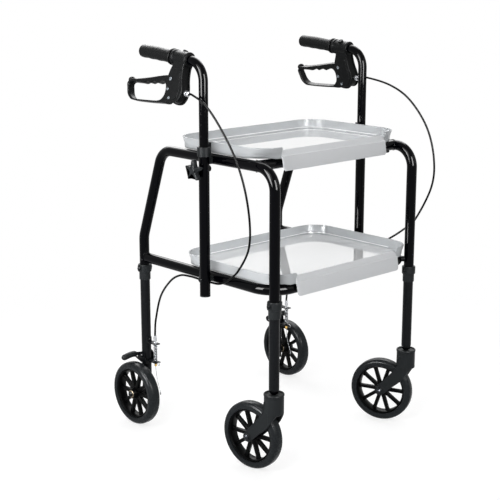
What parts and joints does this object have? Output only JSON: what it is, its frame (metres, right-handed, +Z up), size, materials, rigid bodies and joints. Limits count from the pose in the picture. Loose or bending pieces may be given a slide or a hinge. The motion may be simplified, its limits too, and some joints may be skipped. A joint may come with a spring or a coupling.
{
  "type": "indoor walker with trays",
  "caption": "Indoor walking frame with black bent tube sides, light grey lift-off trays, height-adjustable handles with cable brakes, swivelling front castors and fixed rear wheels.",
  "frame": {"origin": "on the floor, at the middle of the walker in length and width", "axes": "+Z up, +Y towards the user, +X towards the user's left"},
  "size_m": [0.6092, 0.566, 0.9541],
  "materials": {
    "frame_gloss_black": "gloss black powder coat",
    "leg_satin_black": "satin black",
    "dark_plastic": "fine-grained matte black",
    "cable_black": "smooth black sheath",
    "tray_grey": "light grey, glossy floor",
    "grip_rubber": "textured black rubber",
    "tyre_rubber": "matte dark grey",
    "wheel_black": "matte black",
    "bright_steel": "bright zinc",
    "brass": "dull brass"
  },
  "bodies": {
    "frame": {"right_side_frame": "frame_gloss_black", "left_side_frame": "frame_gloss_black", "upper_crossbar": "frame_gloss_black", "lower_tray_rail": "frame_gloss_black", "right_handle_post": "frame_gloss_black", "left_handle_post": "frame_gloss_black", "post_clamps": "dark_plastic", "leg_collars": "dark_plastic", "frame_bolts": "leg_satin_black", "tube_plugs": "dark_plastic", "cable_clips": "dark_plastic", "right_brake_cable": "cable_black", "left_brake_cable": "cable_black", "right_front_leg": "leg_satin_black", "left_front_leg": "leg_satin_black", "right_caster_stem": "leg_satin_black", "left_caster_stem": "leg_satin_black", "right_rear_leg": "leg_satin_black", "left_rear_leg": "leg_satin_black", "right_rear_axle": "brass", "left_rear_axle": "brass", "right_cable_stop": "leg_satin_black", "left_cable_stop": "leg_satin_black", "cable_adjusters": "bright_steel", "right_return_spring": "bright_steel", "left_return_spring": "bright_steel"},
    "right_handle": {"right_handle_tube": "frame_gloss_black", "right_grip": "grip_rubber", "right_brake_housing": "dark_plastic", "right_brake_fittings": "bright_steel"},
    "right_lever": {"right_brake_lever": "dark_plastic"},
    "right_knob": {"right_clamp_knob": "dark_plastic"},
    "right_caster": {"right_fork": "dark_plastic", "right_front_axle": "leg_satin_black"},
    "right_front_roller": {"right_front_tyre": "tyre_rubber", "right_front_wheel": "wheel_black"},
    "right_rear_roller": {"right_rear_tyre": "tyre_rubber", "right_rear_wheel": "wheel_black"},
    "right_rear_brake": {"right_brake_arm": "leg_satin_black", "right_brake_bar": "leg_satin_black", "right_brake_wire": "brass"},
    "left_handle": {"left_handle_tube": "frame_gloss_black", "left_grip": "grip_rubber", "left_brake_housing": "dark_plastic", "left_brake_fittings": "bright_steel"},
    "left_lever": {"left_brake_lever": "dark_plastic"},
    "left_knob": {"left_clamp_knob": "dark_plastic"},
    "left_caster": {"left_fork": "dark_plastic", "left_front_axle": "leg_satin_black"},
    "left_front_roller": {"left_front_tyre": "tyre_rubber", "left_front_wheel": "wheel_black"},
    "left_rear_roller": {"left_rear_tyre": "tyre_rubber", "left_rear_wheel": "wheel_black"},
    "left_rear_brake": {"left_brake_arm": "leg_satin_black", "left_brake_bar": "leg_satin_black", "left_brake_wire": "brass"},
    "upper_tray_body": {"upper_tray": "tray_grey"},
    "lower_tray_body": {"lower_tray": "tray_grey"}
  },
  "joints": [
    {"name": "right_handle_height", "type": "slide", "parent": "frame", "child": "right_handle", "axis": [0, 0, 1], "range_m": [-0.1, 0.05], "deforming": ["right_brake_cable"]},
    {"name": "right_lever_pull", "type": "hinge", "parent": "right_handle", "child": "right_lever", "pos_m": [-0.27926, 0.01558, 0.88044], "axis": [0.9563, 0.0214, -0.2916], "range_deg": [0, 12.5], "stiffness_Nm_per_rad": 0.6, "springref_deg": -5.73},
    {"name": "right_knob_turn", "type": "hinge", "parent": "frame", "child": "right_knob", "pos_m": [-0.2845, -0.06425, 0.686], "axis": [-1, 0, 0], "range_deg": [0, 720]},
    {"name": "right_caster_swivel", "type": "hinge", "parent": "frame", "child": "right_caster", "pos_m": [-0.2315, -0.2595, 0.195], "axis": [0, 0, 1], "continuous": true},
    {"name": "right_front_wheel_spin", "type": "hinge", "parent": "right_caster", "child": "right_front_roller", "pos_m": [-0.23901, -0.19836, 0.08], "axis": [0.9925, 0.1219, 0], "continuous": true},
    {"name": "right_rear_wheel_spin", "type": "hinge", "parent": "frame", "child": "right_rear_roller", "pos_m": [-0.2662, 0.2025, 0.08], "axis": [1, 0, 0], "continuous": true},
    {"name": "right_brake_press", "type": "hinge", "parent": "frame", "child": "right_rear_brake", "pos_m": [-0.2315, 0.2025, 0.174], "axis": [1, 0, 0], "range_deg": [-9, 0], "stiffness_Nm_per_rad": 0.4, "springref_deg": 2.86, "deforming": ["right_return_spring", "right_brake_wire"]},
    {"name": "left_handle_height", "type": "slide", "parent": "frame", "child": "left_handle", "axis": [0, 0, 1], "range_m": [-0.1, 0.05], "deforming": ["left_brake_cable"]},
    {"name": "left_lever_pull", "type": "hinge", "parent": "left_handle", "child": "left_lever", "pos_m": [0.27414, 0.01568, 0.87916], "axis": [0.9816, -0.014, 0.1903], "range_deg": [0, 12.5], "stiffness_Nm_per_rad": 0.6, "springref_deg": -5.73},
    {"name": "left_knob_turn", "type": "hinge", "parent": "frame", "child": "left_knob", "pos_m": [0.2845, -0.06425, 0.686], "axis": [1, 0, 0], "range_deg": [0, 720]},
    {"name": "left_caster_swivel", "type": "hinge", "parent": "frame", "child": "left_caster", "pos_m": [0.2315, -0.2595, 0.195], "axis": [0, 0, 1], "continuous": true},
    {"name": "left_front_wheel_spin", "type": "hinge", "parent": "left_caster", "child": "left_front_roller", "pos_m": [0.20963, -0.20192, 0.08], "axis": [0.9348, 0.3551, 0], "continuous": true},
    {"name": "left_rear_wheel_spin", "type": "hinge", "parent": "frame", "child": "left_rear_roller", "pos_m": [0.2662, 0.2025, 0.08], "axis": [1, 0, 0], "continuous": true},
    {"name": "left_brake_press", "type": "hinge", "parent": "frame", "child": "left_rear_brake", "pos_m": [0.2315, 0.2025, 0.174], "axis": [1, 0, 0], "range_deg": [-9, 0], "stiffness_Nm_per_rad": 0.4, "springref_deg": 2.86, "deforming": ["left_return_spring", "left_brake_wire"]},
    {"name": "upper_tray_lift", "type": "slide", "parent": "frame", "child": "upper_tray_body", "axis": [0, 0, 1], "range_m": [0, 0.06]},
    {"name": "lower_tray_lift", "type": "slide", "parent": "frame", "child": "lower_tray_body", "axis": [0, 0, 1], "range_m": [0, 0.06]}
  ],
  "couplings": [
    {"joint": "right_brake_press", "follows": "right_lever_pull", "ratio": -0.72},
    {"joint": "left_brake_press", "follows": "left_lever_pull", "ratio": -0.72}
  ]
}
